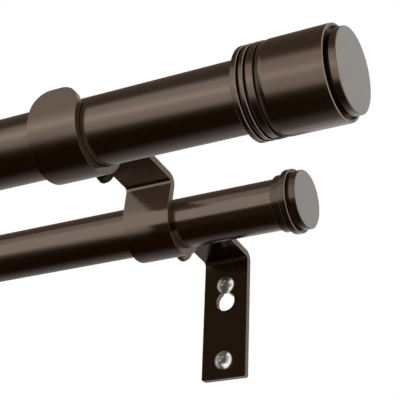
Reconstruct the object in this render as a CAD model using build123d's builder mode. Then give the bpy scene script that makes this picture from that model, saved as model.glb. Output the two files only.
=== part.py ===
from build123d import *
from math import cos, radians, sin
import os

os.makedirs("parts", exist_ok=True)

# Double curtain pole: a thick front pole and a thinner rear pole on two bent
# strip brackets, with a turned cap on each of the four pole ends.
# X runs along the poles, the wall face is the plane Y = 0, the room is at -Y.
# The origin is on the wall, behind the upper screw of the right-hand bracket.

# Poles: steel tube, about one inch and three quarters of an inch across
FRONT_DIAMETER = 25.4
REAR_DIAMETER = 19.5
TUBE_WALL = 1.0
FRONT_OUT = 117.5
REAR_OUT = 56.7
FRONT_UP = 16.0
REAR_UP = 5.2
BRACKET_SPACING = 600.0
FRONT_TUBE_PAST = 84.4
REAR_TUBE_PAST = 58.5

# Bracket: one flat strip, bent all the way round
STRIP_WIDTH = 20.3
STRIP_THICKNESS = 2.7
STRIP_EDGE = 0.35
BEND_INSIDE = 1.6
ARM_RISE = 7.5
CRADLE_CLEARANCE = 0.2
REAR_ARM_HEIGHT = 14.5
FRONT_ARM_HEIGHT = 10.7
TONGUE_HEIGHT = 10.4
TONGUE_CORNER = 8.0
FOOT_BELOW_SCREW = 7.8
FOOT_CORNER = 0.8

# Wall fixing: a keyhole above and a round hole below
SCREW_SPACING = 33.2
SCREW_SHANK = 4.2
SCREW_NECK = 3.6
SCREW_HOLE_CLEARANCE = 0.3
SCREW_HEAD_DIAMETER = 8.0
SCREW_HEAD_HEIGHT = 2.4
SCREW_HEAD_RIM = 0.6
SCREW_LENGTH = 15.9
SCREW_POINT = 4.0
SCREW_POINT_FLAT = 0.6
CROSS_WIDTH = 1.1
CROSS_SPAN = 4.4
CROSS_DEPTH = 1.6
CROSS_TAPER = 8.0
KEYHOLE_DROP = 7.2
KEYHOLE_CLEARANCE = 0.5

# Clamp screw: pinches each pole from the wall side of its cradle
CLAMP_SHANK = 4.0
CLAMP_HOLE_CLEARANCE = 0.2
CLAMP_TIP_CLEARANCE = 0.05
CLAMP_HEAD_DIAMETER = 6.4
CLAMP_HEAD_HEIGHT = 3.0
CLAMP_HEAD_EDGE = 0.5
CLAMP_SLOT_WIDTH = 1.0
CLAMP_SLOT_DEPTH = 1.4
FRONT_CLAMP_REACH = 22.3
FRONT_CLAMP_DROP = 17.4
REAR_CLAMP_REACH = 20.0
REAR_CLAMP_DROP = 13.2

# Front cap, sizes along the pole counted from the end face
FRONT_CAP_LENGTH = 36.0
FRONT_CAP_WALL = 3.7
FRONT_DISC_INSET = 1.75
FRONT_DISC_THICKNESS = 2.2
FRONT_GROOVE_WIDTH = 2.0
FRONT_GROOVE_DEPTH = 0.85
FRONT_DRUM_END = 27.5
FRONT_BAND_WIDTH = 3.2
NOTCH_DEPTH = 0.9
NOTCH_SLOPE = 1.8
NOTCH_GAP = 0.25
SHOULDER_BREAK = 0.5
RING_GROOVE_DEPTH = 1.2
RING_GROOVE_WIDTH = 0.8
MIDDLE_RING_WIDTH = 1.5
FRONT_SOCKET_DEPTH = 14.0
CAP_EDGE = 0.3

# Rear cap
REAR_CAP_LENGTH = 10.2
REAR_COLLAR_WALL = 1.05
REAR_COLLAR_WIDTH = 3.8
REAR_RING_STEP = 1.4
REAR_DISC_INSET = 1.05
REAR_DISC_THICKNESS = 2.6
REAR_GROOVE_WIDTH = 1.5
REAR_GROOVE_DEPTH = 0.85
REAR_SOCKET_DEPTH = 6.2

# Push-in plug: holds a cap on the end of its tube
SOCKET_CLEARANCE = 0.1
PLUG_CLEARANCE = 0.1
FRONT_PLUG_DEPTH = 22.0
REAR_PLUG_DEPTH = 16.0
FRONT_STUD_DIAMETER = 12.0
FRONT_STUD_LENGTH = 10.0
REAR_STUD_DIAMETER = 9.0
REAR_STUD_LENGTH = 1.6
PLUG_LEAD = 1.0

# Places that follow from the sizes above
SIDES = {"right": 0.0, "left": -BRACKET_SPACING}
OUTWARD = {"right": 1, "left": -1}
FRONT_AXIS = Vector(-FRONT_OUT, FRONT_UP)
REAR_AXIS = Vector(-REAR_OUT, REAR_UP)
FORWARD = Vector(-cos(radians(ARM_RISE)), sin(radians(ARM_RISE)))
UPWARD = Vector(sin(radians(ARM_RISE)), cos(radians(ARM_RISE)))
BEND_RADIUS = BEND_INSIDE + STRIP_THICKNESS / 2


def across(x):
    """Plane across the poles at x: its own x is the wall direction, its own y is up."""
    return Plane(origin=(x, 0, 0), x_dir=(0, 1, 0), z_dir=(1, 0, 0))


def along(x, axis, outward):
    """Plane through a pole's axis: its own x runs from the end face to the middle."""
    return Plane(
        origin=(x, axis.X, axis.Y), x_dir=(-outward, 0, 0), z_dir=(0, outward, 0)
    )


def keep(piece, label):
    """Name a finished piece and write it out."""
    piece.label = label
    export_step(piece, f"parts/{label}.step")


# Poles


def make_pole(label, diameter, axis, end):
    """One steel tube; end is how far it runs past each bracket."""
    length = BRACKET_SPACING + 2 * end
    with BuildPart() as pole:
        with BuildSketch(across(-BRACKET_SPACING / 2)):
            with Locations((axis.X, axis.Y)):
                Circle(diameter / 2)
                Circle(diameter / 2 - TUBE_WALL, mode=Mode.SUBTRACT)
        extrude(amount=length / 2, both=True)
    keep(pole.part, label)


make_pole("front_pole", FRONT_DIAMETER, FRONT_AXIS, FRONT_TUBE_PAST)
make_pole("rear_pole", REAR_DIAMETER, REAR_AXIS, REAR_TUBE_PAST)


# Caps, turned about the pole's axis


def block(start, width, bottom, top):
    """Rectangle in a cap's section, from start along the pole, between two radii."""
    with Locations((start, bottom)):
        Rectangle(width, top - bottom, align=(Align.MIN, Align.MIN))


def cut(start, width, bottom, top):
    """The same rectangle, taken away."""
    with Locations((start, bottom)):
        Rectangle(
            width, top - bottom, align=(Align.MIN, Align.MIN), mode=Mode.SUBTRACT
        )


def make_front_cap(side):
    """Plain drum with a raised end disc, and fine rings where it meets the pole."""
    socket = FRONT_CAP_LENGTH - FRONT_SOCKET_DEPTH
    x = SIDES[side] + OUTWARD[side] * (FRONT_TUBE_PAST + socket)
    drum = FRONT_DIAMETER / 2 + FRONT_CAP_WALL
    disc = drum - FRONT_DISC_INSET
    groove = disc - FRONT_GROOVE_DEPTH
    fine = drum - RING_GROOVE_DEPTH
    bore = FRONT_DIAMETER / 2 + SOCKET_CLEARANCE
    stud = FRONT_STUD_DIAMETER / 2 + PLUG_CLEARANCE
    stud_end = FRONT_STUD_LENGTH + PLUG_CLEARANCE
    first_ring = FRONT_DRUM_END + FRONT_BAND_WIDTH
    second_ring = first_ring + RING_GROOVE_WIDTH + MIDDLE_RING_WIDTH
    with BuildPart() as cap:
        with BuildSketch(along(x, FRONT_AXIS, OUTWARD[side])) as section:
            block(0, FRONT_CAP_LENGTH, 0, drum)
            cut(0, FRONT_DISC_THICKNESS, disc, drum)
            cut(FRONT_DISC_THICKNESS, FRONT_GROOVE_WIDTH, groove, drum)
            cut(first_ring, RING_GROOVE_WIDTH, fine, drum)
            cut(second_ring, RING_GROOVE_WIDTH, fine, drum)
            with BuildLine():
                Polyline(
                    (FRONT_DRUM_END - NOTCH_SLOPE, drum),
                    (FRONT_DRUM_END, drum - NOTCH_DEPTH),
                    (FRONT_DRUM_END + NOTCH_GAP, drum),
                    close=True,
                )
            make_face(mode=Mode.SUBTRACT)
            rims = section.vertices().group_by(Axis.Y)[-1].sort_by(Axis.X)
            chamfer(rims[1], SHOULDER_BREAK)
            chamfer([rims[0]] + rims[2:], CAP_EDGE)
            cut(socket, FRONT_SOCKET_DEPTH, 0, bore)
            cut(socket - stud_end, stud_end, 0, stud)
        revolve(axis=Axis((x, FRONT_AXIS.X, FRONT_AXIS.Y), (1, 0, 0)))
    keep(cap.part, f"front_cap_{side}")


def make_rear_cap(side):
    """Short cap: a collar over the tube, a wider ring, a groove and an end disc."""
    socket = REAR_CAP_LENGTH - REAR_SOCKET_DEPTH
    x = SIDES[side] + OUTWARD[side] * (REAR_TUBE_PAST + socket)
    collar = REAR_DIAMETER / 2 + REAR_COLLAR_WALL
    ring = collar + REAR_RING_STEP
    disc = ring - REAR_DISC_INSET
    groove = disc - REAR_GROOVE_DEPTH
    bore = REAR_DIAMETER / 2 + SOCKET_CLEARANCE
    stud = REAR_STUD_DIAMETER / 2 + PLUG_CLEARANCE
    stud_end = REAR_STUD_LENGTH + PLUG_CLEARANCE
    collar_start = REAR_CAP_LENGTH - REAR_COLLAR_WIDTH
    with BuildPart() as cap:
        with BuildSketch(along(x, REAR_AXIS, OUTWARD[side])) as section:
            block(0, REAR_CAP_LENGTH, 0, ring)
            cut(0, REAR_DISC_THICKNESS, disc, ring)
            cut(REAR_DISC_THICKNESS, REAR_GROOVE_WIDTH, groove, ring)
            cut(collar_start, REAR_COLLAR_WIDTH, collar, ring)
            rims = section.vertices().group_by(Axis.Y)[-1]
            mouth = section.vertices().group_by(Axis.X)[-1].sort_by(Axis.Y)[-1]
            chamfer(rims + [mouth], CAP_EDGE)
            cut(socket, REAR_SOCKET_DEPTH, 0, bore)
            cut(socket - stud_end, stud_end, 0, stud)
        revolve(axis=Axis((x, REAR_AXIS.X, REAR_AXIS.Y), (1, 0, 0)))
    keep(cap.part, f"rear_cap_{side}")


def make_plug(label, side, axis, tube_end, tube_bore, depth, stud_radius, stud_length):
    """Plug that fills the tube's bore, with a stud that seats in the cap."""
    shoulder = along(SIDES[side] + OUTWARD[side] * tube_end, axis, OUTWARD[side])
    turned = Plane(
        origin=shoulder.origin, x_dir=(0, 1, 0), z_dir=(-OUTWARD[side], 0, 0)
    )
    with BuildPart() as plug:
        with BuildSketch(turned):
            Circle(tube_bore / 2 - PLUG_CLEARANCE)
        extrude(amount=depth)
        chamfer(plug.faces().sort_by(Axis.X)[0 if side == "right" else -1].edges(), PLUG_LEAD)
        with BuildSketch(turned):
            Circle(stud_radius)
        extrude(amount=-stud_length)
    keep(plug.part, f"{label}_plug_{side}")


for side in SIDES:
    make_front_cap(side)
    make_rear_cap(side)
    make_plug(
        "front",
        side,
        FRONT_AXIS,
        FRONT_TUBE_PAST,
        FRONT_DIAMETER - 2 * TUBE_WALL,
        FRONT_PLUG_DEPTH,
        FRONT_STUD_DIAMETER / 2,
        FRONT_STUD_LENGTH,
    )
    make_plug(
        "rear",
        side,
        REAR_AXIS,
        REAR_TUBE_PAST,
        REAR_DIAMETER - 2 * TUBE_WALL,
        REAR_PLUG_DEPTH,
        REAR_STUD_DIAMETER / 2,
        REAR_STUD_LENGTH,
    )


# Brackets


def clamp_plane(side, axis, drop, reach):
    """Plane square to a clamp screw, at a distance from its pole's axis."""
    toward = Vector(0, cos(radians(drop)), -sin(radians(drop)))
    middle = Vector(SIDES[side], axis.X, axis.Y)
    return Plane(origin=middle + toward * reach, x_dir=(1, 0, 0), z_dir=toward)


def meet(height, axis, out):
    """Point at a height above a pole's axis and a distance in front of it."""
    return axis + UPWARD * height + FORWARD * out


def strip_run():
    """Middle line of the bent strip: foot, arm, cradle, riser, arm, cradle, tongue."""
    rear = REAR_DIAMETER / 2 + CRADLE_CLEARANCE + STRIP_THICKNESS / 2
    front = FRONT_DIAMETER / 2 + CRADLE_CLEARANCE + STRIP_THICKNESS / 2
    plate = -STRIP_THICKNESS / 2
    start = meet(REAR_ARM_HEIGHT, REAR_AXIS, -rear)
    wall_bend = start + FORWARD * ((plate - start.X) / FORWARD.X)
    rise = (meet(FRONT_ARM_HEIGHT, FRONT_AXIS, 0) - REAR_AXIS).dot(UPWARD)
    FilletPolyline(
        (plate, -SCREW_SPACING - FOOT_BELOW_SCREW),
        wall_bend,
        start,
        meet(0, REAR_AXIS, -rear),
        radius=BEND_RADIUS,
    )
    ThreePointArc(
        meet(0, REAR_AXIS, -rear), meet(-rear, REAR_AXIS, 0), meet(0, REAR_AXIS, rear)
    )
    FilletPolyline(
        meet(0, REAR_AXIS, rear),
        meet(rise, REAR_AXIS, rear),
        meet(FRONT_ARM_HEIGHT, FRONT_AXIS, -front),
        meet(0, FRONT_AXIS, -front),
        radius=BEND_RADIUS,
    )
    ThreePointArc(
        meet(0, FRONT_AXIS, -front),
        meet(-front, FRONT_AXIS, 0),
        meet(0, FRONT_AXIS, front),
    )
    Line(meet(0, FRONT_AXIS, front), meet(TONGUE_HEIGHT, FRONT_AXIS, front))


def make_bracket(side):
    """Bent strip with a keyhole and a screw hole in its foot, and two clamp holes."""
    x = SIDES[side]
    hole = (SCREW_SHANK + SCREW_HOLE_CLEARANCE) / 2
    with BuildPart() as bracket:
        with BuildSketch(across(x)):
            with BuildLine():
                strip_run()
            trace(line_width=STRIP_THICKNESS)
        extrude(amount=STRIP_WIDTH / 2, both=True)
        thick = bracket.edges().filter_by(
            Axis((0, 0, 0), (0, FORWARD.X, FORWARD.Y))
        )
        fillet(thick.sort_by(Axis.Y)[:2], TONGUE_CORNER)
        fillet(bracket.edges().filter_by(Axis.Y).sort_by(Axis.Z)[:2], FOOT_CORNER)
        chamfer(bracket.faces().filter_by(Axis.X).edges(), STRIP_EDGE)
        with BuildSketch(Plane(origin=(x, 0, 0), x_dir=(1, 0, 0), z_dir=(0, -1, 0))):
            Circle(hole)
            Rectangle(2 * hole, KEYHOLE_DROP, align=(Align.CENTER, Align.MAX))
            with Locations((0, -KEYHOLE_DROP)):
                Circle((SCREW_HEAD_DIAMETER + KEYHOLE_CLEARANCE) / 2)
            with Locations((0, -SCREW_SPACING)):
                Circle(hole)
        extrude(amount=STRIP_THICKNESS, mode=Mode.SUBTRACT)
        for axis, diameter, drop in (
            (FRONT_AXIS, FRONT_DIAMETER, FRONT_CLAMP_DROP),
            (REAR_AXIS, REAR_DIAMETER, REAR_CLAMP_DROP),
        ):
            with BuildSketch(clamp_plane(side, axis, drop, diameter / 2)):
                Circle((CLAMP_SHANK + CLAMP_HOLE_CLEARANCE) / 2)
            extrude(
                amount=CRADLE_CLEARANCE + 2 * STRIP_THICKNESS, mode=Mode.SUBTRACT
            )
    keep(bracket.part, f"bracket_{side}")


# Screws


def make_clamp_screw(label, side, axis, diameter, drop, reach):
    """Slotted screw whose tip bears on the pole."""
    tip = diameter / 2 + CLAMP_TIP_CLEARANCE
    with BuildPart() as screw:
        with BuildSketch(clamp_plane(side, axis, drop, tip)):
            Circle(CLAMP_SHANK / 2)
        extrude(amount=reach - CLAMP_HEAD_HEIGHT - tip)
        with BuildSketch(clamp_plane(side, axis, drop, reach - CLAMP_HEAD_HEIGHT)):
            Circle(CLAMP_HEAD_DIAMETER / 2)
        extrude(amount=CLAMP_HEAD_HEIGHT)
        rims = screw.edges().filter_by(GeomType.CIRCLE).sort_by(SortBy.RADIUS)[-2:]
        chamfer(rims, CLAMP_HEAD_EDGE)
        with BuildSketch(clamp_plane(side, axis, drop, reach)):
            Rectangle(CLAMP_HEAD_DIAMETER, CLAMP_SLOT_WIDTH)
        extrude(amount=-CLAMP_SLOT_DEPTH, mode=Mode.SUBTRACT)
    keep(screw.part, f"{label}_clamp_screw_{side}")


def make_wall_screw(label, side, z):
    """Domed screw: its head bears on the foot, a plain neck passes through it."""
    x = SIDES[side]
    head = SCREW_HEAD_DIAMETER / 2
    shank = SCREW_SHANK / 2
    neck = SCREW_NECK / 2
    with BuildPart() as screw:
        with BuildSketch(Plane(origin=(x, -STRIP_THICKNESS, z), x_dir=(1, 0, 0))):
            with BuildLine():
                Polyline(
                    (0, -SCREW_HEAD_HEIGHT),
                    (0, SCREW_LENGTH),
                    (SCREW_POINT_FLAT / 2, SCREW_LENGTH),
                    (shank, SCREW_LENGTH - SCREW_POINT),
                    (shank, STRIP_THICKNESS),
                    (neck, STRIP_THICKNESS),
                    (neck, 0),
                    (head, 0),
                    (head, -SCREW_HEAD_RIM),
                )
                TangentArc(
                    (0, -SCREW_HEAD_HEIGHT),
                    (head, -SCREW_HEAD_RIM),
                    tangent=(1, 0),
                )
            make_face()
        revolve(axis=Axis((x, 0, z), (0, 1, 0)))
        top = Plane(
            origin=(x, -STRIP_THICKNESS - SCREW_HEAD_HEIGHT, z),
            x_dir=(1, 0, 0),
            z_dir=(0, 1, 0),
        )
        with BuildSketch(top):
            Rectangle(CROSS_SPAN, CROSS_WIDTH)
            Rectangle(CROSS_WIDTH, CROSS_SPAN)
        extrude(amount=CROSS_DEPTH, taper=CROSS_TAPER, mode=Mode.SUBTRACT)
    keep(screw.part, f"{label}_wall_screw_{side}")


for side in SIDES:
    make_bracket(side)
    make_clamp_screw(
        "front", side, FRONT_AXIS, FRONT_DIAMETER, FRONT_CLAMP_DROP, FRONT_CLAMP_REACH
    )
    make_clamp_screw(
        "rear", side, REAR_AXIS, REAR_DIAMETER, REAR_CLAMP_DROP, REAR_CLAMP_REACH
    )
    make_wall_screw("upper", side, 0)
    make_wall_screw("lower", side, -SCREW_SPACING)
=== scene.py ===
import logging
import math
from abc import ABC, abstractmethod
from dataclasses import dataclass
from enum import Enum
from typing import ClassVar

import bmesh
import bpy
from bmesh.types import BMesh, BMVert
from bpy.types import ID, Material, Node, NodeSocket, NodeTree, Object, ShaderNodeTree
from mathutils import Matrix, Vector


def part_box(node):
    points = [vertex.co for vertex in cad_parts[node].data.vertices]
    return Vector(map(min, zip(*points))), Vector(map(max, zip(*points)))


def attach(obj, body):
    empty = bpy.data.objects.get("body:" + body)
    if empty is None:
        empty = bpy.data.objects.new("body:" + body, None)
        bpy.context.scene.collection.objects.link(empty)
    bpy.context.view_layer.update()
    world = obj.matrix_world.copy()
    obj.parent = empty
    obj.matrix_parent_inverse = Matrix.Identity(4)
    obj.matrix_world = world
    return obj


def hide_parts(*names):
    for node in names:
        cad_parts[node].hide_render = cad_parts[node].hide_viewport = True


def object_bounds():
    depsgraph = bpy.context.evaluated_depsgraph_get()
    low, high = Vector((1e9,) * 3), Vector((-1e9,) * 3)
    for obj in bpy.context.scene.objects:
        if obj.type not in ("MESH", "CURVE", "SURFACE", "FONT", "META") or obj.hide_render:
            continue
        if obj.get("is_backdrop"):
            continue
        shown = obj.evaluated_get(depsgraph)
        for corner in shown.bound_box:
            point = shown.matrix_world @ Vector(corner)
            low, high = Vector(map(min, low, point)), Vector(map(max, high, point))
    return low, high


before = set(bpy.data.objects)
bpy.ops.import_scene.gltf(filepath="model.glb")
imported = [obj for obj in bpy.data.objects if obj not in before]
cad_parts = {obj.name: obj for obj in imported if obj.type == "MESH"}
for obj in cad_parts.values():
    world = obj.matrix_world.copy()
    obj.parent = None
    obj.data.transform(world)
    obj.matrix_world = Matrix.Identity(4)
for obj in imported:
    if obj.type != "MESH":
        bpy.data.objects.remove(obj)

LOG = logging.getLogger("curtain_pole")
MM = 0.001
ROUND_STEPS = 144
SMALL_STEPS = 64
STRIP_THICKNESS = 2.7 * MM


class Side(Enum):
    """The two ends of the pole; the value is the way out along X."""

    RIGHT = 1
    LEFT = -1

    @property
    def word(self) -> str:
        """The side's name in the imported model's node names."""
        return self.name.lower()


@dataclass(frozen=True)
class Clamp:
    """How a clamp screw stands on its pole.

    Attributes:
        reach: From the pole's axis to the top of the screw's head, in metres.
        drop: How far below level it points, in degrees.
        finish: The name of its finish.
    """

    reach: float
    drop: float
    finish: str

    @property
    def toward(self) -> Vector:
        """The way from the pole to the screw's head, towards the wall and down."""
        angle = math.radians(self.drop)
        return Vector((0, math.cos(angle), -math.sin(angle)))


CLAMPS = {
    "front": Clamp(22.3 * MM, 17.4, "screw_black"),
    "rear": Clamp(20.0 * MM, 13.2, "strip_bronze"),
}


# Mesh helpers


def wire(points: list[Vector]) -> tuple[BMesh, list[BMVert]]:
    """Start a mesh from one open line.

    Args:
        points: The line's corners, in order, in metres.

    Returns:
        The new mesh and its vertices in the same order.
    """
    bm = bmesh.new()
    verts = [bm.verts.new(p) for p in points]
    for a, b in zip(verts, verts[1:]):
        bm.edges.new((a, b))
    return bm, verts


def round_corner(bm: BMesh, vert: BMVert, offset: float, segments: int) -> None:
    """Round one corner of a line or of a sheet's outline.

    Args:
        bm: The mesh that the corner is in.
        vert: The corner.
        offset: How far from the corner the rounding starts, in metres.
        segments: How many short edges the rounding has.
    """
    bmesh.ops.bevel(
        bm,
        geom=[vert],
        offset=offset,
        offset_type="OFFSET",
        segments=segments,
        profile=0.5,
        affect="VERTICES",
        clamp_overlap=False,
        material=-1,
    )


def link_object(name: str, data: ID) -> Object:
    """Make an object of a mesh, a camera or a lamp and link it to the scene."""
    made = bpy.data.objects.new(name, data)
    bpy.context.scene.collection.objects.link(made)
    return made


def link_mesh(bm: BMesh, name: str, material: Material | None = None) -> Object:
    """Make an object at the origin from a mesh that is complete.

    Args:
        bm: The mesh. It is freed.
        name: The name of the object and of its mesh.
        material: Its first material, if it has one.

    Returns:
        The new object, linked to the scene.
    """
    mesh = bpy.data.meshes.new(name)
    bm.to_mesh(mesh)
    bm.free()
    if material:
        mesh.materials.append(material)
    return link_object(name, mesh)


def finish_piece(bm: BMesh, name: str, material: Material) -> Object:
    """Turn a finished mesh into a smooth-shaded object at the origin.

    Args:
        bm: The mesh, in the frame's metres. It is freed.
        name: The piece's name.
        material: The piece's first material.

    Returns:
        The new object, linked to the scene.
    """
    bmesh.ops.remove_doubles(bm, verts=bm.verts[:], dist=1e-7)
    bmesh.ops.recalc_face_normals(bm, faces=bm.faces[:])
    for face in bm.faces:
        face.smooth = True
    return link_mesh(bm, name, material)


def even_normals(piece: Object) -> None:
    """Let the large faces set the shading, so that flats stay flat beside roundings."""
    modifier = piece.modifiers.new("even_normals", "WEIGHTED_NORMAL")
    modifier.mode = "FACE_AREA"
    modifier.weight = 60


def seat(piece: Object, slot: str, *nodes: str) -> None:
    """Put a piece on the part's only body in place of its plain CAD nodes.

    Args:
        piece: The finished piece.
        slot: The name of the record's material slot for the piece. It is not used.
        nodes: The CAD nodes that it stands for.
    """
    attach(piece, "root")
    if nodes:
        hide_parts(*nodes)


def carve(piece: Object, cutters: list[BMesh]) -> None:
    """Cut holes in a piece for good, one cutter after the other, and smooth its faces.

    Args:
        piece: The piece, with any modifiers that come before the holes.
        cutters: Closed meshes to take away. They are freed.
    """
    for bm in cutters:
        tool = link_mesh(bm, "cutter")
        modifier = piece.modifiers.new("hole", "BOOLEAN")
        modifier.operation = "DIFFERENCE"
        modifier.solver = "EXACT"
        modifier.object = tool
        bpy.context.view_layer.update()
        graph = bpy.context.evaluated_depsgraph_get()
        cut = bpy.data.meshes.new_from_object(piece.evaluated_get(graph), depsgraph=graph)
        piece.modifiers.clear()
        old = piece.data
        piece.data = cut
        cut.name = piece.name
        bpy.data.meshes.remove(old)
        bpy.data.objects.remove(tool)
    for polygon in piece.data.polygons:
        polygon.use_smooth = True


def drum(centre: Vector, axis: Vector, radius: float, depth: float) -> BMesh:
    """Closed cylinder for cutting a hole.

    Args:
        centre: The cylinder's middle.
        axis: The way it points.
        radius: Its radius in metres.
        depth: Its length in metres.

    Returns:
        The new mesh.
    """
    bm = bmesh.new()
    bmesh.ops.create_cone(
        bm, cap_ends=True, segments=SMALL_STEPS, radius1=radius, radius2=radius, depth=depth
    )
    turn = axis.to_track_quat("Z", "Y").to_matrix().to_4x4()
    bmesh.ops.transform(bm, verts=bm.verts[:], matrix=Matrix.Translation(centre) @ turn)
    return bm


def bar(
    centre: Vector, axis: Vector, size: tuple[float, float, float], roll: float = 0.0
) -> BMesh:
    """Closed box for cutting a slot.

    Args:
        centre: The box's middle.
        axis: The way its third side points.
        size: Its three sides in metres.
        roll: Its turn about the axis, in degrees.

    Returns:
        The new mesh.
    """
    bm = bmesh.new()
    bmesh.ops.create_cube(bm, size=1.0, matrix=Matrix.Diagonal((*size, 1.0)))
    turn = axis.to_track_quat("Z", "Y").to_matrix().to_4x4()
    spin = Matrix.Rotation(math.radians(roll), 4, "Z")
    bmesh.ops.transform(
        bm, verts=bm.verts[:], matrix=Matrix.Translation(centre) @ turn @ spin
    )
    return bm


@dataclass
class Lathe:
    """A turned piece: a section spun round an axis.

    Attributes:
        start: The point on the axis where the section is counted from.
        axis: The way the section runs from there.
        edge: How far each corner of the section is broken, in metres.
        segments: Short edges in each broken corner.
        steps: Faces round the piece.
    """

    start: Vector
    axis: Vector
    edge: float = 0.3 * MM
    segments: int = 4
    steps: int = ROUND_STEPS

    def turn(
        self, section: list[tuple[float, float]], breaks: dict[int, float] | None = None
    ) -> BMesh:
        """Spin a section into a closed solid.

        Args:
            section: Distance along the axis and radius of each corner, in metres.
            breaks: Corners with a rounding of their own, by their place in section.

        Returns:
            The new mesh.
        """
        out = self.axis.orthogonal().normalized()
        line = [self.start + self.axis * s + out * r for s, r in section]
        bm, verts = wire(line)
        own = breaks or {}
        for i, vert in enumerate(verts):
            offset = own.get(i, self.edge)
            if 0 < i < len(verts) - 1 and section[i][1] > 0 and offset > 0:
                round_corner(bm, vert, offset, self.segments)
        bmesh.ops.spin(
            bm,
            geom=bm.verts[:] + bm.edges[:],
            cent=self.start,
            axis=self.axis,
            dvec=(0, 0, 0),
            angle=2 * math.pi,
            steps=self.steps,
            use_merge=True,
            use_duplicate=False,
        )
        bmesh.ops.remove_doubles(bm, verts=bm.verts[:], dist=1e-6)
        return bm


# Finishes


class Nodes:
    """Short way to write a material's node tree."""

    def __init__(self, tree: NodeTree) -> None:
        """Empty the tree, ready to be filled."""
        self.tree = tree
        tree.nodes.clear()

    def add(
        self, kind: str, inputs: dict[str | int, object] | None = None, **values: object
    ) -> Node:
        """Add a node, set its properties, then link or set its inputs.

        Args:
            kind: The node's type name without its ShaderNode prefix.
            inputs: A socket to link, or a value to set, for each input named.
            values: Properties to set on the node.

        Returns:
            The new node.
        """
        prefix = "" if kind.startswith("Node") else "ShaderNode"
        node = self.tree.nodes.new(prefix + kind)
        for key, value in values.items():
            setattr(node, key, value)
        for key, value in (inputs or {}).items():
            if isinstance(value, NodeSocket):
                self.tree.links.new(value, node.inputs[key])
            else:
                node.inputs[key].default_value = value
        return node

    def maths(self, operation: str, *terms: object) -> NodeSocket:
        """Add a Math node whose inputs are sockets or numbers, in order."""
        return self.add("Math", dict(enumerate(terms)), operation=operation).outputs[0]

    def ease(self, value: NodeSocket, low: float, high: float) -> NodeSocket:
        """Smooth step from 0 at low to 1 at high."""
        inputs = {"Value": value, "From Min": low, "From Max": high}
        node = self.add("MapRange", inputs, interpolation_type="SMOOTHSTEP", clamp=True)
        return node.outputs["Result"]

    def mix(
        self, factor: object, first: object, second: object, blend: str = "MIX"
    ) -> NodeSocket:
        """Mix two colours, from the first at 0 to the second at 1."""
        inputs = {"Factor": factor, "A": first, "B": second}
        node = self.add("Mix", inputs, data_type="RGBA", blend_type=blend)
        return node.outputs["Result"]


def satin_group() -> ShaderNodeTree:
    """Node group for the small unevenness of a rubbed and lacquered metal.

    Returns:
        A group with inputs Vector, Colour, Mottle, Roughness and Grain, and outputs
        Colour, Roughness and Height.
    """
    tree = bpy.data.node_groups.new("satin_unevenness", "ShaderNodeTree")
    for name, way, kind in (
        ("Vector", "INPUT", "Vector"),
        ("Colour", "INPUT", "Color"),
        ("Mottle", "INPUT", "Float"),
        ("Roughness", "INPUT", "Float"),
        ("Grain", "INPUT", "Float"),
        ("Colour", "OUTPUT", "Color"),
        ("Roughness", "OUTPUT", "Float"),
        ("Height", "OUTPUT", "Float"),
    ):
        tree.interface.new_socket(name, in_out=way, socket_type=f"NodeSocket{kind}")
    nodes = Nodes(tree)
    given = nodes.add("NodeGroupInput").outputs
    patches = {"Vector": given["Vector"], "Scale": 260.0, "Detail": 4.0, "Roughness": 0.6}
    specks = {"Vector": given["Vector"], "Scale": 1900.0, "Detail": 2.0}
    cloud = nodes.add("TexNoise", patches, noise_dimensions="3D").outputs["Fac"]
    grain = nodes.add("TexNoise", specks, noise_dimensions="3D").outputs["Fac"]
    swing = nodes.maths("MULTIPLY", nodes.maths("SUBTRACT", cloud, 0.5), given["Mottle"])
    factor = nodes.maths("ADD", swing, 1.0)
    tint = {0: given["Colour"], "Scale": factor}
    colour = nodes.add("VectorMath", tint, operation="SCALE")
    rub = nodes.maths("MULTIPLY", nodes.maths("SUBTRACT", grain, 0.5), given["Grain"])
    both = nodes.maths("ADD", rub, nodes.maths("MULTIPLY", swing, 0.5))
    rough = nodes.maths("ADD", given["Roughness"], both)
    found = {"Colour": colour.outputs["Vector"], "Roughness": rough, "Height": grain}
    nodes.add("NodeGroupOutput", found)
    return tree


@dataclass(frozen=True)
class Finish:
    """One metal or plastic finish.

    Attributes:
        name: The material's name.
        colour: Its base colour, linear red, green and blue.
        metallic: 1 for metal, 0 for paint or plastic.
        roughness: Its mean roughness.
        mottle: How much its colour varies from place to place.
        grain: How much its fine grain changes the roughness.
        bump: The height of its fine grain, in metres.
    """

    name: str
    colour: tuple[float, float, float]
    metallic: float
    roughness: float
    mottle: float
    grain: float
    bump: float

    def make(self, group: ShaderNodeTree) -> Material:
        """Build the material.

        Args:
            group: The shared group from satin_group.

        Returns:
            The new material.
        """
        material = bpy.data.materials.new(self.name)
        material.use_nodes = True
        nodes = Nodes(material.node_tree)
        given = {
            "Vector": nodes.add("TexCoord").outputs["Object"],
            "Colour": (*self.colour, 1.0),
            "Mottle": self.mottle,
            "Roughness": self.roughness,
            "Grain": self.grain,
        }
        uneven = nodes.add("Group", given, node_tree=group).outputs
        height = {"Height": uneven["Height"], "Strength": 1.0, "Distance": self.bump}
        surface = {
            "Base Color": uneven["Colour"],
            "Metallic": self.metallic,
            "Roughness": uneven["Roughness"],
            "Normal": nodes.add("Bump", height).outputs["Normal"],
        }
        shader = nodes.add("BsdfPrincipled", surface)
        nodes.add("OutputMaterial", {"Surface": shader.outputs["BSDF"]})
        return material


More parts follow.
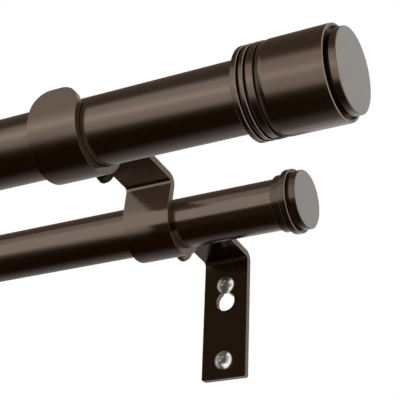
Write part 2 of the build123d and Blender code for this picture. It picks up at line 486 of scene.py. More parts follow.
FINISHES = (
    Finish("tube_bronze", (0.162, 0.122, 0.098), 1.0, 0.20, 0.05, 0.03, 5e-8),
    Finish("strip_bronze", (0.158, 0.118, 0.092), 1.0, 0.19, 0.10, 0.05, 8e-8),
    Finish("cap_bronze", (0.147, 0.108, 0.084), 1.0, 0.20, 0.05, 0.03, 5e-8),
    # A darker copy of the cap bronze for the rear caps: painted shade.
    Finish("cap_bronze_shaded", (0.105, 0.077, 0.060), 1.0, 0.24, 0.05, 0.03, 5e-8),
    Finish("disc_grey", (0.315, 0.293, 0.272), 1.0, 0.30, 0.03, 0.03, 5e-8),
    Finish("screw_black", (0.030, 0.024, 0.019), 1.0, 0.38, 0.10, 0.05, 1e-7),
    Finish("screw_zinc", (0.89, 0.89, 0.91), 1.0, 0.30, 0.15, 0.08, 1e-7),
    Finish("plug_black", (0.018, 0.016, 0.015), 0.0, 0.55, 0.10, 0.08, 2e-7),
    # Near-black for the cap grooves: painted shade, partly the bronze's dark patina.
    Finish("recess_brown", (0.040, 0.026, 0.016), 1.0, 0.38, 0.05, 0.03, 5e-8),
    # Lighter bronze for broken edges: a painted highlight, partly wear.
    Finish("edge_bronze", (0.30, 0.24, 0.17), 1.0, 0.28, 0.10, 0.05, 5e-8),
)


# Poles


def turned_place(node: str, side: Side) -> tuple[Vector, float, float]:
    """Where a turned piece along X stands, read from its CAD node.

    Args:
        node: The CAD node.
        side: The end that the piece is counted from.

    Returns:
        The middle of that end, the piece's length and its largest radius.
    """
    low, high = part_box(node)
    end = high.x if side is Side.RIGHT else low.x
    start = Vector((end, (low.y + high.y) / 2, (low.z + high.z) / 2))
    return start, high.x - low.x, (high.z - low.z) / 2


@dataclass
class Pole:
    """One straight steel tube, read from its CAD node."""

    node: str
    wall: float = 1.0 * MM
    edge: float = 0.2 * MM

    def build(self, material: Material) -> Object:
        """Turn the tube and put it in place of its node.

        Args:
            material: The tube's finish.

        Returns:
            The new piece.
        """
        start, length, outer = turned_place(self.node, Side.LEFT)
        inner = outer - self.wall
        lathe = Lathe(start, Vector((1, 0, 0)), self.edge, 3)
        ring = [(0, inner), (0, outer), (length, outer), (length, inner), (0, inner)]
        bm = lathe.turn(ring)
        piece = finish_piece(bm, self.node + "_tube", material)
        even_normals(piece)
        seat(piece, "bronze_tube", self.node)
        return piece


# Caps


@dataclass
class Cap(ABC):
    """Turned cap of a pole, sizes in metres from its end face inwards."""

    pole: ClassVar[str]
    title: ClassVar[str]
    side: Side
    disc_inset: float
    groove: float
    groove_depth: float
    socket: float
    bore: float
    stud: float
    stud_depth: float
    disc: float = 2.7 * MM
    inner_edge: float = 0.1 * MM

    @abstractmethod
    def outside(
        self, length: float, rim: float, groove: float
    ) -> list[tuple[float, float]]:
        """Corners of the cap's outside, from the foot of the first groove to the mouth."""

    @abstractmethod
    def breaks(self) -> dict[int, float]:
        """Rounding of the outer corners that need their own, by place in the section."""

    @abstractmethod
    def grooves(self) -> list[tuple[float, float]]:
        """Where each dark groove starts and ends."""

    def plain(self) -> tuple[float, float]:
        """Where the edges keep the cap's own finish."""
        return 0.0, 0.0

    def section(self, length: float, rim: float) -> list[tuple[float, float]]:
        """Corners of the cap's section.

        Args:
            length: The cap's whole length.
            rim: Its largest radius.

        Returns:
            Distance from the end face and radius, from the end face round to the stud.
        """
        disc = rim - self.disc_inset
        groove = disc - self.groove_depth
        floor = length - self.socket
        return [
            (0, 0),
            (0, disc),
            (self.disc, disc),
            (self.disc, groove),
            *self.outside(length, rim, groove),
            (length, self.bore),
            (floor, self.bore),
            (floor, self.stud),
            (floor - self.stud_depth, self.stud),
            (floor - self.stud_depth, 0),
        ]

    def build(self, material: Material, others: list[Material]) -> Object:
        """Turn the cap and put it in place of its node.

        Args:
            material: The finish of the turned rings.
            others: The finishes of the flat end face, the grooves and the edges.

        Returns:
            The new piece.
        """
        node = f"{self.pole}_cap_{self.side.word}"
        start, length, rim = turned_place(node, self.side)
        section = self.section(length, rim)
        inside = range(len(section) - 4, len(section))
        breaks = self.breaks() | {i: self.inner_edge for i in inside}
        bm = Lathe(start, Vector((-self.side.value, 0, 0))).turn(section, breaks)
        piece = finish_piece(bm, f"{self.title}_{self.side.word}", material)
        self.dress(piece, others, start, rim)
        even_normals(piece)
        seat(piece, "bronze_cap", node)
        return piece

    def dress(
        self,
        piece: Object,
        others: list[Material],
        start: Vector,
        rim: float,
    ) -> None:
        """Give the end face its own finish, paint shade into the grooves and a highlight
        onto the edges, partly patina and wear.

        Args:
            piece: The turned cap.
            others: The finishes of the flat end face, the grooves and the edges.
            start: The middle of the end face.
            rim: The cap's largest radius.
        """
        for material in others:
            piece.data.materials.append(material)
        grooves, plain = self.grooves(), self.plain()
        end_face, recess, highlight_and_wear = 1, 2, 3
        hair, skin, edge_band = 0.03 * MM, 0.3 * MM, 0.45 * MM
        flat_lip, hollow_depth = 1.3 * MM, 4 * MM
        square, sloped = 0.98, (0.3, 0.97)
        for polygon in piece.data.polygons:
            centre = polygon.center
            deep = abs(centre.x - start.x)
            radius = math.hypot(centre.y - start.y, centre.z - start.z)
            lean = abs(polygon.normal.x)
            hollow = any(a - hair < deep < b + hair for a, b in grooves)
            on_rim = radius > rim - edge_band
            on_disc = deep < self.disc + hair and radius > rim - self.disc_inset - edge_band
            back = on_disc and deep > self.disc / 2
            if lean > square and deep < hair:
                polygon.material_index = end_face
            # Faces in the grooves take the near-black finish: painted shade, partly dark
            # patina.
            elif hollow and rim - hollow_depth < radius < rim - skin and not on_disc:
                if not (lean > square and radius > rim - flat_lip):
                    polygon.material_index = recess
            # Sloped faces on the rims and the disc's back edge take the lighter edge
            # finish: a painted highlight, partly wear.
            elif sloped[0] < lean < sloped[1] and (on_rim or back):
                if not plain[0] < deep < plain[1]:
                    polygon.material_index = highlight_and_wear


@dataclass
class FrontCap(Cap):
    """Drum with an undercut groove in front and a notch and three rings behind."""

    pole: ClassVar[str] = "front"
    title: ClassVar[str] = "turned_cap"
    disc_inset: float = 1.85 * MM
    groove: float = 1.0 * MM
    groove_depth: float = 1.2 * MM
    lip: float = 1.1 * MM
    lip_slope: float = 0.2 * MM
    channel: float = 1.2 * MM
    drum_end: float = 27.6 * MM
    band: float = 2.9 * MM
    notch_depth: float = 0.55 * MM
    notch_slope: float = 1.9 * MM
    slit: float = 0.3 * MM
    fine_depth: float = 1.5 * MM
    fine_width: float = 0.95 * MM
    middle_ring: float = 1.55 * MM
    socket: float = 14.0 * MM
    bore: float = 12.8 * MM
    stud: float = 6.1 * MM
    stud_depth: float = 10.1 * MM
    drum_edge: float = 0.4 * MM
    notch_edge: float = 0.9 * MM
    slit_edge: float = 0.05 * MM
    plain_edge: float = 1.0 * MM

    @property
    def rings(self) -> tuple[float, float]:
        """Where the first ring and the middle ring end."""
        first = self.drum_end + self.band
        return first, first + self.fine_width + self.middle_ring

    def outside(
        self, length: float, rim: float, groove: float
    ) -> list[tuple[float, float]]:
        """Corners of the undercut, the drum and the rings.

        Args:
            length: The cap's whole length.
            rim: Its largest radius.
            groove: The radius at the foot of the first groove.

        Returns:
            Distance from the end face and radius.
        """
        fine = rim - self.fine_depth
        drum_start = self.disc + self.groove
        first, second = self.rings
        return [
            (drum_start + self.channel, groove),
            (drum_start + self.channel, rim - self.lip - self.lip_slope),
            (drum_start, rim - self.lip),
            (drum_start, rim),
            (self.drum_end - self.notch_slope, rim),
            (self.drum_end, rim - self.notch_depth),
            (self.drum_end, fine),
            (self.drum_end + self.slit, fine),
            (self.drum_end + self.slit, rim),
            (first, rim),
            (first, fine),
            (first + self.fine_width, fine),
            (first + self.fine_width, rim),
            (second, rim),
            (second, fine),
            (second + self.fine_width, fine),
            (second + self.fine_width, rim),
            (length, rim),
        ]

    def breaks(self) -> dict[int, float]:
        """Soft drum edges, crisp grooves and a crisper slit."""
        own = {7: self.drum_edge, 8: self.notch_edge}
        own |= {i: self.inner_edge for i in (3, 4, 5, 6, 14, 15, 18, 19)}
        return own | {i: self.slit_edge for i in (9, 10, 11, 12)}

    def grooves(self) -> list[tuple[float, float]]:
        """The undercut groove, the slit and the two grooves between the rings."""
        first, second = self.rings
        return [
            (self.disc, self.disc + self.groove + self.channel),
            (self.drum_end, self.drum_end + self.slit),
            (first, first + self.fine_width),
            (second, second + self.fine_width),
        ]

    def plain(self) -> tuple[float, float]:
        """From just before the notch to just before the end of the first ring."""
        start = self.drum_end - self.notch_slope - self.plain_edge
        return start, self.rings[0] - self.plain_edge


@dataclass
class RearCap(Cap):
    """Short cap with one groove, a ring and a collar."""

    pole: ClassVar[str] = "rear"
    title: ClassVar[str] = "collar_cap"
    disc_inset: float = 1.05 * MM
    groove: float = 0.95 * MM
    groove_depth: float = 0.85 * MM
    ring_step: float = 1.4 * MM
    collar: float = 3.8 * MM
    socket: float = 6.2 * MM
    bore: float = 9.85 * MM
    stud: float = 4.6 * MM
    stud_depth: float = 1.7 * MM

    def outside(
        self, length: float, rim: float, groove: float
    ) -> list[tuple[float, float]]:
        """Corners of the ring and the collar.

        Args:
            length: The cap's whole length.
            rim: Its largest radius.
            groove: The radius at the foot of the first groove.

        Returns:
            Distance from the end face and radius.
        """
        collar = rim - self.ring_step
        ring_start = self.disc + self.groove
        return [
            (ring_start, groove),
            (ring_start, rim),
            (length - self.collar, rim),
            (length - self.collar, collar),
            (length, collar),
        ]

    def breaks(self) -> dict[int, float]:
        """Crisp corners at the foot of the groove."""
        return {3: self.inner_edge, 4: self.inner_edge}

    def grooves(self) -> list[tuple[float, float]]:
        """The groove behind the end disc."""
        return [(self.disc, self.disc + self.groove)]


# Brackets


@dataclass
class Bracket:
    """Flat strip bent from the wall round both poles, sizes in metres and degrees."""

    side: Side
    width: float = 20.3 * MM
    thickness: float = STRIP_THICKNESS
    edge: float = 0.42 * MM
    bend_inside: float = 1.6 * MM
    arm_rise: float = 7.5
    clearance: float = 0.2 * MM
    rear_arm: float = 14.5 * MM
    front_arm: float = 10.7 * MM
    tongue: float = 10.4 * MM
    tongue_corner: float = 8.0 * MM
    foot_below_screw: float = 7.8 * MM
    foot_corner: float = 0.8 * MM
    screw_spacing: float = 33.2 * MM
    screw_hole: float = 2.25 * MM
    keyhole_drop: float = 7.2 * MM
    keyhole: float = 4.25 * MM
    clamp_hole: float = 2.1 * MM
    clamp_cut: float = 7.56 * MM
    bend_segments: int = 10
    tongue_segments: int = 14
    edge_segments: int = 4
    cradle_steps: int = 48

    @property
    def node(self) -> str:
        """The CAD node that the bracket replaces."""
        return f"bracket_{self.side.word}"

    @property
    def forward(self) -> Vector:
        """The way the arms run, out from the wall and slightly up."""
        rise = math.radians(self.arm_rise)
        return Vector((0, -math.cos(rise), math.sin(rise)))

    @property
    def upward(self) -> Vector:
        """The way square to the arms, up."""
        rise = math.radians(self.arm_rise)
        return Vector((0, math.sin(rise), math.cos(rise)))

    def pole_axis(self, pole: str) -> tuple[Vector, float]:
        """Where a pole passes the bracket's left edge.

        Args:
            pole: The pole's CAD node.

        Returns:
            A point on the pole's axis and the pole's radius.
        """
        start, _, radius = turned_place(pole, Side.LEFT)
        start.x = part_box(self.node)[0].x
        return start, radius

    def bend(self, bm: BMesh, vert: BMVert) -> None:
        """Round one bend of the strip's middle line.

        Args:
            bm: The line's mesh.
            vert: The corner to round.
        """
        before, after = (e.other_vert(vert).co - vert.co for e in vert.link_edges)
        turn = math.pi - before.angle(after)
        radius = self.bend_inside + self.thickness / 2
        round_corner(bm, vert, radius * math.tan(turn / 2), self.bend_segments)

    def cradle(self, bm: BMesh, vert: BMVert, centre: Vector) -> BMVert:
        """Take the line half round a pole, underneath it.

        Args:
            bm: The line's mesh.
            vert: The line's last point, on the wall side of the pole.
            centre: A point on the pole's axis.

        Returns:
            The line's new last point, on the room side.
        """
        turned = bmesh.ops.spin(
            bm,
            geom=[vert],
            cent=centre,
            axis=(1, 0, 0),
            dvec=(0, 0, 0),
            angle=-math.pi,
            steps=self.cradle_steps,
            use_merge=False,
            use_duplicate=False,
        )
        return turned["geom_last"][0]

    def run(self) -> BMesh:
        """Lay the strip's middle line: foot, arm, cradle, riser, arm, cradle, tongue.

        Returns:
            A mesh with the line at the strip's left edge.
        """
        rear, rear_radius = self.pole_axis("rear_pole")
        front, front_radius = self.pole_axis("front_pole")
        half = self.thickness / 2
        rear_out = rear_radius + self.clearance + half
        front_out = front_radius + self.clearance + half
        arm = rear + self.upward * self.rear_arm - self.forward * rear_out
        wall = arm + self.forward * ((-half - arm.y) / self.forward.y)
        foot = Vector((wall.x, -half, -self.screw_spacing - self.foot_below_screw))
        top = (front + self.upward * self.front_arm - rear).dot(self.upward)
        bm, line = wire([foot, wall, arm, rear - self.forward * rear_out])
        bends = line[1:3]
        last = self.cradle(bm, line[3], rear)
        riser = bm.verts.new(rear + self.upward * top + self.forward * rear_out)
        lip = front + self.upward * self.front_arm - self.forward * front_out
        second = bm.verts.new(lip)
        entry = bm.verts.new(front - self.forward * front_out)
        for a, b in ((last, riser), (riser, second), (second, entry)):
            bm.edges.new((a, b))
        bends += [riser, second]
        last = self.cradle(bm, entry, front)
        tip = bm.verts.new(last.co + self.upward * self.tongue)
        bm.edges.new((last, tip))
        for vert in bends:
            self.bend(bm, vert)
        return bm

    def blank(self, material: Material) -> Object:
        """Bend the strip, with its corners cut round and before its holes.

        Args:
            material: The strip's finish.

        Returns:
            The new piece.
        """
        bm = self.run()
        drawn = bmesh.ops.extrude_edge_only(bm, edges=bm.edges[:])
        far = [g for g in drawn["geom"] if isinstance(g, BMVert)]
        bmesh.ops.translate(bm, verts=far, vec=(self.width, 0, 0))
        front = self.pole_axis("front_pole")[0]
        near_tip = self.tongue * 0.98
        tongue = [
            v
            for v in bm.verts
            if (v.co - front).dot(self.upward) > near_tip
            and (v.co - front).dot(self.forward) > 0
        ]
        foot = sorted(bm.verts, key=lambda v: v.co.z)[:2]
        for vert in tongue:
            round_corner(bm, vert, self.tongue_corner, self.tongue_segments)
        for vert in foot:
            round_corner(bm, vert, self.foot_corner, self.edge_segments)
        piece = finish_piece(bm, f"bent_strip_{self.side.word}", material)
        shell = piece.modifiers.new("thickness", "SOLIDIFY")
        shell.thickness = self.thickness
        shell.offset = 0.0
        shell.use_even_offset = True
        return piece

    def holes(self) -> list[BMesh]:
        """Cutters for the keyhole, the lower screw hole and the two clamp holes."""
        low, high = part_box(self.node)
        x = (low.x + high.x) / 2
        back = Vector((0, 1, 0))
        deep = 4 * self.thickness
        drop = Vector((0, 0, -self.keyhole_drop))
        screw = Vector((x, -self.thickness / 2, 0))
        lower = screw + Vector((0, 0, -self.screw_spacing))
        slot = (2 * self.screw_hole, self.keyhole_drop, deep)
        found = [
            drum(screw, back, self.screw_hole, deep),
            bar(screw + drop / 2, back, slot),
            drum(screw + drop, back, self.keyhole, deep),
            drum(lower, back, self.screw_hole, deep),
        ]
        for pole, clamp in CLAMPS.items():
            axis, radius = self.pole_axis(f"{pole}_pole")
            wall = radius + self.clearance + self.thickness / 2
            middle = Vector((x, axis.y, axis.z)) + clamp.toward * wall
            found.append(drum(middle, clamp.toward, self.clamp_hole, self.clamp_cut))
        return found

    def build(self, material: Material, highlight_and_wear: Material) -> Object:
        """Bend, drill and break the edges of the strip, in place of its node.

        Args:
            material: The strip's finish.
            highlight_and_wear: The lighter finish of its broken edges: a painted highlight
                along the edges, partly wear.

        Returns:
            The new piece.
        """
        piece = self.blank(material)
        carve(piece, self.holes())
        piece.data.materials.append(highlight_and_wear)
        # The bevelled edges take the lighter edge finish: a painted highlight along the
        # strip's edges, partly wear.
        edges = piece.modifiers.new("edges", "BEVEL")
        edges.material = 1
        edges.width = self.edge
        edges.segments = self.edge_segments
        edges.limit_method = "ANGLE"
        edges.angle_limit = math.radians(40)
        edges.harden_normals = False
        even_normals(piece)
        seat(piece, "bronze_strip", self.node)
        return piece


# Screws


@dataclass
class ClampScrew:
    """Slotted screw that pinches a pole, sizes in metres."""

    pole: str
    side: Side
    shank: float = 2.0 * MM
    head: float = 3.2 * MM
    head_height: float = 3.0 * MM
    edge: float = 0.6 * MM
    slot: float = 1.0 * MM
    slot_depth: float = 1.4 * MM
    neck_edge: float = 0.15 * MM
    tip_edge: float = 0.4 * MM
    tip: float = 0.05 * MM

    def build(self, material: Material) -> Object:
        """Turn the screw and saw its slot, in place of its node.

        Args:
            material: The screw's finish.

        Returns:
            The new piece.
        """
        node = f"{self.pole}_clamp_screw_{self.side.word}"
        clamp = CLAMPS[self.pole]
        axis, _, radius = turned_place(f"{self.pole}_pole", Side.LEFT)
        low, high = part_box(f"bracket_{self.side.word}")
        axis.x = (low.x + high.x) / 2
        top = axis + clamp.toward * clamp.reach
        length = clamp.reach - radius - self.tip
        section = [
            (0, 0),
            (0, self.head),
            (self.head_height, self.head),
            (self.head_height, self.shank),
            (length, self.shank),
            (length, 0),
        ]
        lathe = Lathe(top, -clamp.toward, self.edge, 6, SMALL_STEPS)
        bm = lathe.turn(section, {3: self.neck_edge, 4: self.tip_edge})
        piece = finish_piece(bm, f"{self.pole}_thumb_{self.side.word}", material)
        size = (3 * self.head, self.slot, 2 * self.slot_depth)
        carve(piece, [bar(top, clamp.toward, size)])
        even_normals(piece)
        seat(piece, "dark_screw", node)
        return piece


@dataclass
class WallScrew:
    """Bright domed screw with a cross recess and a cut thread, sizes in metres."""

    place: str
    side: Side
    head: float = 4.0 * MM
    rim: float = 0.6 * MM
    dome: float = 2.4 * MM
    neck: float = 1.8 * MM
    core: float = 1.45 * MM
    crest: float = 2.1 * MM
    pitch: float = 1.8 * MM
    plate: float = STRIP_THICKNESS
    length: float = 15.9 * MM
    point: float = 4.0 * MM
    tip: float = 0.25 * MM
    edge: float = 0.12 * MM
    rim_edge: float = 0.25 * MM
    arc_steps: int = 10
    thread_steps: int = 24
    thread_runout: float = 0.6
    cross_span: float = 2.8 * MM
    cross_width: float = 0.55 * MM
    cross_depth: float = 0.8 * MM
    cross_roll: float = 45.0

    def head_mesh(self, top: Vector) -> BMesh:
        """Turn the domed head and the plain core behind it.

        Args:
            top: The highest point of the dome.

        Returns:
            The new mesh.
        """
        height = self.dome
        ball = (self.head**2 + (height - self.rim) ** 2) / (2 * (height - self.rim))
        arc = []
        for step in range(self.arc_steps + 1):
            r = self.head * step / self.arc_steps
            arc.append((ball - math.sqrt(ball**2 - r**2), r))
        section = arc + [
            (height, self.head),
            (height, self.neck),
            (height + self.plate, self.neck),
            (height + self.plate, self.core),
            (height + self.length - self.point, self.core),
            (height + self.length, self.tip),
            (height + self.length, 0),
        ]
        smooth = {i: 0.0 for i in range(self.arc_steps)}
        lathe = Lathe(top, Vector((0, 1, 0)), self.edge, 3, SMALL_STEPS)
        return lathe.turn(section, {self.arc_steps: self.rim_edge, **smooth})

    def thread(self, top: Vector, material: Material) -> Object:
        """Wind the thread's ridge round the core, fading out along the point.

        Args:
            top: The highest point of the dome.
            material: The screw's finish.

        Returns:
            The new piece.
        """
        start = top.y + self.dome + self.plate + 0.5 * self.pitch
        end = top.y + self.dome + self.length
        turns = (end - start) / self.pitch - self.thread_runout
        root, half, flat = self.core - 0.1 * MM, 0.22 * self.pitch, 0.05 * MM
        corners = [(-half, root), (-flat, self.crest), (flat, self.crest), (half, root)]
        ridge = [Vector((top.x, start + s, top.z + r)) for s, r in corners]
        bm, verts = wire(ridge)
        bm.edges.new((verts[-1], verts[0]))
        first = bm.faces.new(verts)
        steps = round(turns * self.thread_steps)
        bmesh.ops.spin(
            bm,
            geom=[first],
            cent=top,
            axis=(0, 1, 0),
            dvec=(0, self.pitch / self.thread_steps, 0),
            angle=2 * math.pi * turns,
            steps=steps,
            use_merge=False,
            use_duplicate=False,
        )
        tip = end - self.point
        for vert in bm.verts:
            fade = 1.0 - max(0.0, (vert.co.y - tip) / self.point) * 0.9
            vert.co.x = top.x + (vert.co.x - top.x) * fade
            vert.co.z = top.z + (vert.co.z - top.z) * fade
        name = f"{self.place}_wall_screw_{self.side.word}_thread"
        piece = finish_piece(bm, name, material)
        even_normals(piece)
        seat(piece, "bright_screw")
        return piece

    def build(self, material: Material) -> Object:
        """Turn the screw, press its recess and wind its thread.

        Args:
            material: The screw's finish.

        Returns:
            The new piece.
        """
        node = f"{self.place}_wall_screw_{self.side.word}"
        low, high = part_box(node)
        x, z = (low.x + high.x) / 2, (low.z + high.z) / 2
        top = Vector((x, -self.plate - self.dome, z))
        back = Vector((0, 1, 0))
        piece = finish_piece(self.head_mesh(top), f"{node}_body", material)
        size = (self.cross_span, self.cross_width, 2 * self.cross_depth)
        rolls = (self.cross_roll, self.cross_roll + 90)
        carve(piece, [bar(top, back, size, roll) for roll in rolls])
        even_normals(piece)
        seat(piece, "bright_screw", node)
        self.thread(top, material)
        return piece


# Studio


@dataclass
class Studio:
    """Pale floor, soft lamp, white background and the photograph's camera."""

    floor_level: float = -0.42
    floor_size: float = 6.0
    target: tuple[float, float, float] = (0.043307, -0.10241, -0.0108)
    azimuth: float = 30.0124
    elevation: float = -24.9129
    roll: float = 2.2733
    distance: float = 0.417536
    focal: float = 1225.44
    frame_width: float = 400.0
    sensor: float = 36.0
    lamp_size: tuple[float, float] = (1.6, 1.2)
    lamp_watts: float = 9.0
    lamp_aim: tuple[float, float, float] = (-0.1, -0.06, 0.0)
    lamp_offset: tuple[float, float, float] = (-0.9, -1.2, 1.1)

    def camera(self) -> None:
        """Set the camera where the photograph was taken from."""
        a, e = math.radians(self.azimuth), math.radians(self.elevation)
        back = Vector((math.sin(a) * math.cos(e), -math.cos(a) * math.cos(e), math.sin(e)))
        right = Vector((math.cos(a), math.sin(a), 0))
        up = back.cross(right)
        spin = Matrix.Rotation(math.radians(self.roll), 3, "Z")
        turn = Matrix((right, up, back)).transposed() @ spin
        data = bpy.data.cameras.new("photo_camera")
        data.sensor_width = self.sensor
        data.lens = self.focal / self.frame_width * self.sensor
        data.clip_start, data.clip_end = 0.01, 50.0
        camera = link_object("photo_camera", data)
        place = Matrix.Translation(Vector(self.target) + back * self.distance)
        camera.matrix_world = place @ turn.to_4x4()
        bpy.context.scene.camera = camera

    def floor(self) -> None:
        """Lay the pale floor well below the poles."""
        bm = bmesh.new()
        bmesh.ops.create_grid(bm, x_segments=1, y_segments=1, size=self.floor_size)
        bmesh.ops.translate(bm, verts=bm.verts[:], vec=(0, 0, self.floor_level))
        material = bpy.data.materials.new("pale_floor")
        material.use_nodes = True
        shader = material.node_tree.nodes["Principled BSDF"]
        shader.inputs["Base Color"].default_value = (0.86, 0.86, 0.85, 1)
        shader.inputs["Roughness"].default_value = 0.9
        shader.inputs["Specular IOR Level"].default_value = 0.0
        floor = link_mesh(bm, "floor", material)
        floor.visible_glossy = False
        floor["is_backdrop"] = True

    def card(
        self,
        name: str,
        centre: tuple[float, float, float],
        size: tuple[float, float],
        facing: tuple[float, float, float],
        shine: tuple[float, float, float],
    ) -> None:
        """Stand a glowing card by the part that only the metal in front of it reflects: a
        painted reflection, bright or dark by its colour.

        Args:
            name: The card's name.
            centre: Its middle.
            size: Its width and height in metres.
            facing: The way that it faces. Nothing behind it sees it.
            shine: Its colour, linear red, green and blue.
        """
        bm = bmesh.new()
        bmesh.ops.create_grid(bm, x_segments=1, y_segments=1, size=0.5)
        turn = Vector(facing).to_track_quat("Z", "Y").to_matrix().to_4x4()
        grow = Matrix.Diagonal((*size, 1.0, 1.0))
        place = Matrix.Translation(Vector(centre)) @ turn @ grow
        bmesh.ops.transform(bm, verts=bm.verts[:], matrix=place)
        material = bpy.data.materials.new(name)
        material.use_nodes = True
        nodes = Nodes(material.node_tree)
        front = {
            0: nodes.add("NewGeometry").outputs["Backfacing"],
            1: nodes.add("Emission", {"Color": (*shine, 1)}).outputs["Emission"],
            2: nodes.add("BsdfTransparent").outputs["BSDF"],
        }
        nodes.add("OutputMaterial", {"Surface": nodes.add("MixShader", front).outputs[0]})
        card = link_mesh(bm, name, material)
        card.visible_camera = False
        card.visible_diffuse = False
        card.visible_shadow = False
        card.visible_transmission = False
        card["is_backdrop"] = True

    def cards(self) -> None:
        """Stand five glowing cards by the part for its metal alone to reflect: painted
        reflections, light and dark.

        They were placed against the photograph. Two paint light into the rear pole's
        reflection past the front one, one hides the rear pole from the front one with a
        grey painted reflection, and two paint shade into the right-hand bracket's foot,
        keeping it dark. The left-hand bracket has none.
        """
        middle = (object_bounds()[0].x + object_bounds()[1].x) / 2
        # Glow of the three light cards: painted reflections in the poles.
        white, pale, grey = (1.15, 1.15, 1.15), (0.70, 0.70, 0.70), (0.42, 0.42, 0.42)
        # Glow of the two dark cards: painted shade in the bracket foot's reflection.
        dark = (0.078, 0.055, 0.030)
        wall, room, low = (0, 1, 0), (0, -1, 0), (0, 0.6, -0.8)
        self.card("rear_reflection_card", (middle, -0.0935, 0.012), (0.9, 0.032), wall, white)
        self.card("roof_reflection_card", (middle, -0.088, 0.040), (0.9, 0.020), low, pale)
        self.card("skirt_shade_card", (0.032, -0.0935, -0.023), (0.090, 0.036), wall, dark)
        self.card("foot_shade_card", (-0.012, -0.020, -0.0125), (0.044, 0.063), wall, dark)
        self.card("front_reflection_card", (-0.330, -0.090, 0.0015), (0.780, 0.021), room, grey)

    def lamp(self) -> None:
        """Hang one large soft lamp in front, above and to the left."""
        data = bpy.data.lights.new("soft_lamp", "AREA")
        data.shape = "RECTANGLE"
        data.size, data.size_y = self.lamp_size
        data.energy = self.lamp_watts
        lamp = link_object("soft_lamp", data)
        aim = Vector(self.lamp_aim)
        place = aim + Vector(self.lamp_offset)
        way = (aim - place).to_track_quat("-Z", "Y").to_matrix().to_4x4()
        lamp.matrix_world = Matrix.Translation(place) @ way
        lamp.visible_glossy = False

    def world(self) -> None:
        """White background, and the studio's light and dark panels in the metal."""
        world = bpy.data.worlds.new("studio")
        bpy.context.scene.world = world
        world.use_nodes = True
        nodes = Nodes(world.node_tree)
        room = self.panels(nodes, nodes.add("TexCoord").outputs["Generated"])
        path = nodes.add("LightPath").outputs
        mirror = nodes.maths("MAXIMUM", path["Is Glossy Ray"], path["Is Transmission Ray"])
        plain = nodes.mix(mirror, (0.82, 0.82, 0.82, 1), room)
        seen = nodes.mix(path["Is Camera Ray"], plain, (1, 1, 1, 1))
        light = nodes.add("Background", {"Color": seen})
        nodes.add("OutputWorld", {"Surface": light.outputs["Background"]})

    def panels(self, nodes: Nodes, way: NodeSocket) -> NodeSocket:
        """What the metal reflects: a soft box, a dark ceiling and floor, a white wall.

        Their edges were set against the photograph, in the frame's directions.

        Args:
            nodes: The world's nodes.
            way: The direction that a ray leaves in.

        Returns:
            The colour seen in that direction.
        """
        parts = nodes.add("SeparateXYZ", {0: way}).outputs
        x, y, z = (parts[i] for i in range(3))

        def lean(*normal: float) -> NodeSocket:
            """Signed distance of the direction from a plane through the part."""
            dot = nodes.add("VectorMath", {0: way, 1: normal}, operation="DOT_PRODUCT")
            return dot.outputs["Value"]

        upper = nodes.ease(lean(-0.85, -0.141, -0.619), -0.03, 0.14)
        lower = nodes.ease(lean(0.66, -0.648, 0.214), 0.0, 0.14)
        box = nodes.maths("MULTIPLY", upper, lower)
        off = nodes.maths("ABSOLUTE", lean(-0.725, 0.308, -0.616))
        streak = nodes.maths("SUBTRACT", 1.0, nodes.ease(off, 0.0, 0.12))
        box = nodes.maths("MULTIPLY", box, nodes.maths("MULTIPLY_ADD", streak, 0.7, 1.02))
        height = nodes.maths("MULTIPLY_ADD", x, -0.5, nodes.maths("ADD", z, -0.22))
        above = nodes.maths("SUBTRACT", 1.0, nodes.ease(height, 0.0, 0.45))
        wall = nodes.maths("MULTIPLY", nodes.ease(y, 0.15, 0.85), above)
        start, end = nodes.ease(x, -0.52, -0.36), nodes.ease(x, 0.0, -0.2)
        near = nodes.maths("MULTIPLY", start, end)
        near = nodes.maths("MULTIPLY", near, nodes.ease(y, 0.70, 0.88))
        strength = nodes.maths("MULTIPLY_ADD", near, 0.48, 0.36)
        lit = nodes.maths("MAXIMUM", box, nodes.maths("MULTIPLY", wall, strength))
        face = nodes.ease(lean(0.453, 0.785, 0.42), 0.88, 0.97)
        around = nodes.maths("MULTIPLY_ADD", face, -0.25, 0.95)
        right = nodes.ease(x, -0.24, -0.05)
        left = nodes.ease(nodes.maths("MULTIPLY", x, -1.0), 0.68, 0.82)
        right = nodes.maths("MULTIPLY", right, around)
        ahead = nodes.maths("MULTIPLY", nodes.ease(y, 0.0, -0.4), nodes.ease(z, -0.35, 0.0))
        left = nodes.maths("MULTIPLY", left, nodes.maths("MULTIPLY_ADD", ahead, 0.45, 0.28))
        beside = nodes.maths("MAXIMUM", right, left)
        white = nodes.maths("MAXIMUM", lit, beside)
        floor, ceiling = (0.045, 0.022, 0.004, 1), (0.19, 0.145, 0.11, 1)
        dim = nodes.mix(nodes.ease(z, -0.35, 0.35), floor, ceiling)
        grey = nodes.add("CombineColor", {i: white for i in range(3)})
        return nodes.mix(1.0, dim, grey.outputs["Color"], "LIGHTEN")

    def build(self) -> None:
        """Set up everything that isn't part of the object."""
        bpy.context.scene.view_settings.view_transform = "Standard"
        self.camera()
        self.floor()
        self.cards()
        self.lamp()
        self.world()


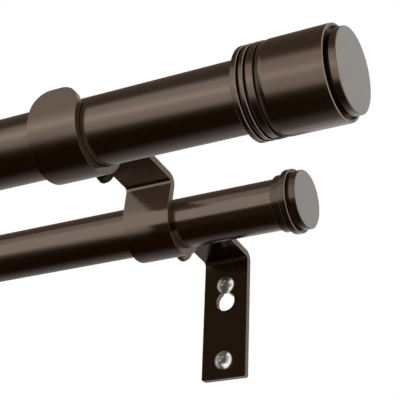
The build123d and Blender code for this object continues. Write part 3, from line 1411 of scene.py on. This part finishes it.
def main() -> None:
    """Build the dressed pole and its studio, and log the name of each piece."""
    logging.basicConfig(level=logging.INFO, format="%(message)s")
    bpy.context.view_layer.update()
    Studio().build()
    group = satin_group()
    finishes = {finish.name: finish.make(group) for finish in FINISHES}
    strip, highlight_and_wear = finishes["strip_bronze"], finishes["edge_bronze"]
    others = [finishes["disc_grey"], finishes["recess_brown"], highlight_and_wear]
    for node in ("front_pole", "rear_pole"):
        LOG.info("pole %s", Pole(node).build(finishes["tube_bronze"]).name)
    for side in Side:
        LOG.info("cap %s", FrontCap(side).build(finishes["cap_bronze"], others).name)
        # The rear caps take the darker copy of the cap bronze: painted shade.
        LOG.info("cap %s", RearCap(side).build(finishes["cap_bronze_shaded"], others).name)
        LOG.info("bracket %s", Bracket(side).build(strip, highlight_and_wear).name)
        for pole, clamp in CLAMPS.items():
            screw = ClampScrew(pole, side).build(finishes[clamp.finish])
            LOG.info("clamp screw %s", screw.name)
        for place in ("upper", "lower"):
            screw = WallScrew(place, side)
            LOG.info("wall screw %s", screw.build(finishes["screw_zinc"]).name)
        for pole in ("front", "rear"):
            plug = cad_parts[f"{pole}_plug_{side.word}"]
            plug.data.materials.clear()
            plug.data.materials.append(finishes["plug_black"])
            LOG.info("plug %s", plug.name)


if __name__ == "__main__":
    main()
